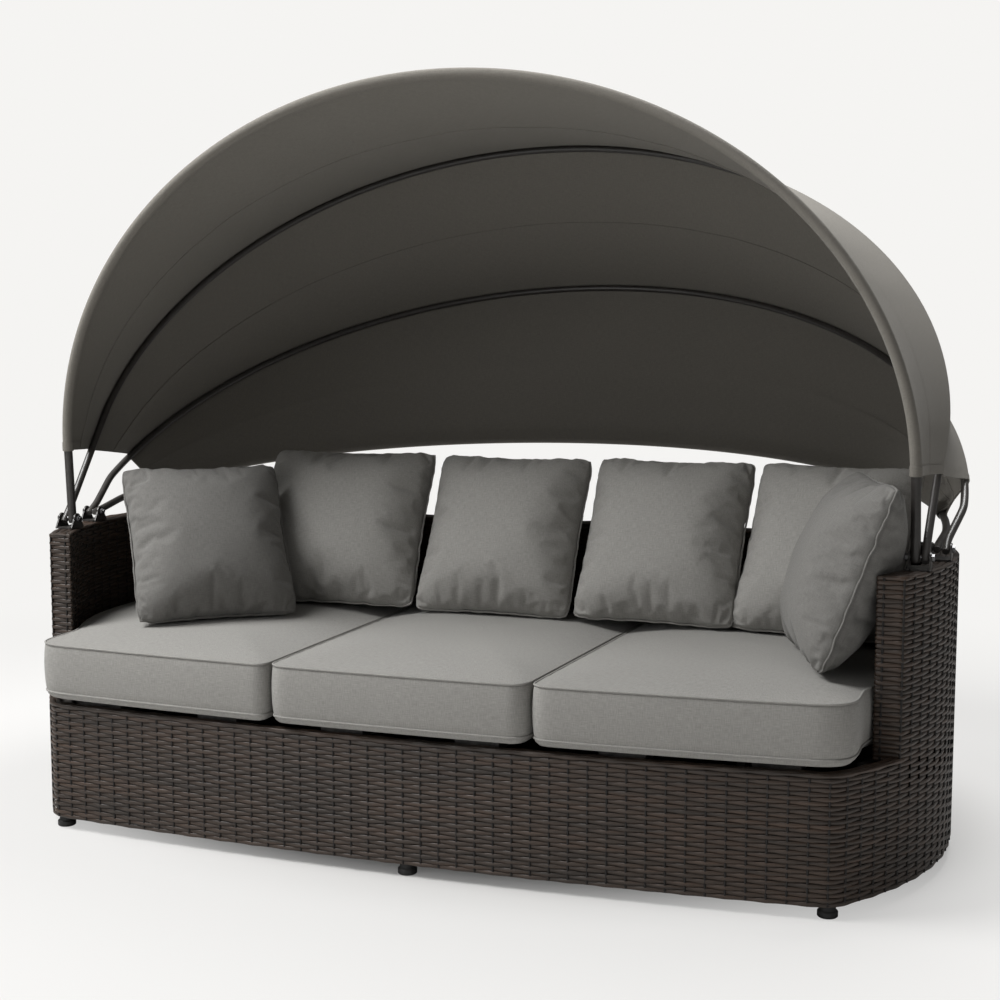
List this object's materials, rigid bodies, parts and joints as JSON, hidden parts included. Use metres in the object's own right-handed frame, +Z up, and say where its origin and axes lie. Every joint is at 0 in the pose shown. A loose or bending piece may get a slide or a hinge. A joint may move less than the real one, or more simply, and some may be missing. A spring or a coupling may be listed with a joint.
{
  "type": "outdoor daybed with canopy",
  "caption": "Woven outdoor daybed with flared sides and a rounded back, loose cushions and pillows, and a cloth canopy on hinged arched bows that folds back.",
  "frame": {"origin": "on the floor, under the middle of the object's outline seen from above", "axes": "+Z up, +Y from the front of the seat to the back, +X along the seat to the right hand of a viewer who stands in front of it"},
  "size_m": [2.013, 1.42, 1.5744],
  "materials": {
    "woven_resin": "flat resin strands over and under round stakes, dark brown with a soft sheen",
    "painted_steel": "dark brown powder coat",
    "zinc_steel": "bright zinc plating",
    "canopy_cloth": "plain woven awning cloth, taupe",
    "cushion_cloth": "coarse woven polyester, warm grey, with piped seams",
    "black_rubber": "matt black moulding"
  },
  "bodies": {
    "body": {"front_skirt_weave": "woven_resin", "back_weave": "woven_resin", "side_weave_left": "woven_resin", "side_weave_right": "woven_resin", "base_rail": "painted_steel", "top_rail": "painted_steel", "front_seat_rail": "painted_steel", "wall_seat_rail": "painted_steel", "front_leg_middle": "painted_steel", "seat_slat_1": "painted_steel", "seat_slat_2": "painted_steel", "seat_slat_3": "painted_steel", "seat_slat_4": "painted_steel", "seat_slat_5": "painted_steel", "seat_slat_6": "painted_steel", "arm_post_left": "painted_steel", "hinge_post_left": "painted_steel", "back_post_left": "painted_steel", "front_leg_left": "painted_steel", "front_hinge_bracket_left": "painted_steel", "rear_hinge_bracket_left": "painted_steel", "arm_post_right": "painted_steel", "hinge_post_right": "painted_steel", "back_post_right": "painted_steel", "front_leg_right": "painted_steel", "front_hinge_bracket_right": "painted_steel", "rear_hinge_bracket_right": "painted_steel", "rear_bow": "painted_steel", "front_hinge_bolt_left": "zinc_steel", "front_hinge_nut_left": "zinc_steel", "rear_hinge_bolt_left": "zinc_steel", "rear_hinge_nut_left": "zinc_steel", "front_hinge_bolt_right": "zinc_steel", "front_hinge_nut_right": "zinc_steel", "rear_hinge_bolt_right": "zinc_steel", "rear_hinge_nut_right": "zinc_steel", "front_foot_middle": "black_rubber", "rear_foot_middle": "black_rubber", "front_foot_left": "black_rubber", "rear_foot_left": "black_rubber", "front_foot_right": "black_rubber", "rear_foot_right": "black_rubber", "seat_cushion_1": "cushion_cloth", "seat_cushion_2": "cushion_cloth", "seat_cushion_3": "cushion_cloth", "back_pillow_1": "cushion_cloth", "back_pillow_2": "cushion_cloth", "back_pillow_3": "cushion_cloth", "back_pillow_4": "cushion_cloth", "arm_pillow_left": "cushion_cloth", "arm_pillow_right": "cushion_cloth"},
    "front_bow_body": {"front_bow": "painted_steel", "canopy_front_panel": "canopy_cloth"},
    "second_bow_body": {"second_bow": "painted_steel", "canopy_second_panel": "canopy_cloth"},
    "third_bow_body": {"third_bow": "painted_steel", "canopy_third_panel": "canopy_cloth", "canopy_rear_panel": "canopy_cloth"}
  },
  "joints": [
    {"name": "front_bow_hinge", "type": "hinge", "parent": "body", "child": "front_bow_body", "pos_m": [0, -0.40814, 0.6343], "axis": [-1, 0, 0], "range_deg": [0, 66], "deforming": ["canopy_front_panel"]},
    {"name": "second_bow_hinge", "type": "hinge", "parent": "body", "child": "second_bow_body", "pos_m": [0, -0.40814, 0.6343], "axis": [-1, 0, 0], "range_deg": [0, 31.7], "deforming": ["canopy_second_panel"]},
    {"name": "third_bow_hinge", "type": "hinge", "parent": "body", "child": "third_bow_body", "pos_m": [0, -0.26814, 0.6343], "axis": [-1, 0, 0], "range_deg": [0, 15.6], "deforming": ["canopy_third_panel", "canopy_rear_panel"]}
  ],
  "couplings": [
    {"joint": "second_bow_hinge", "follows": "front_bow_hinge", "ratio": 0.48},
    {"joint": "third_bow_hinge", "follows": "front_bow_hinge", "ratio": 0.235}
  ]
}
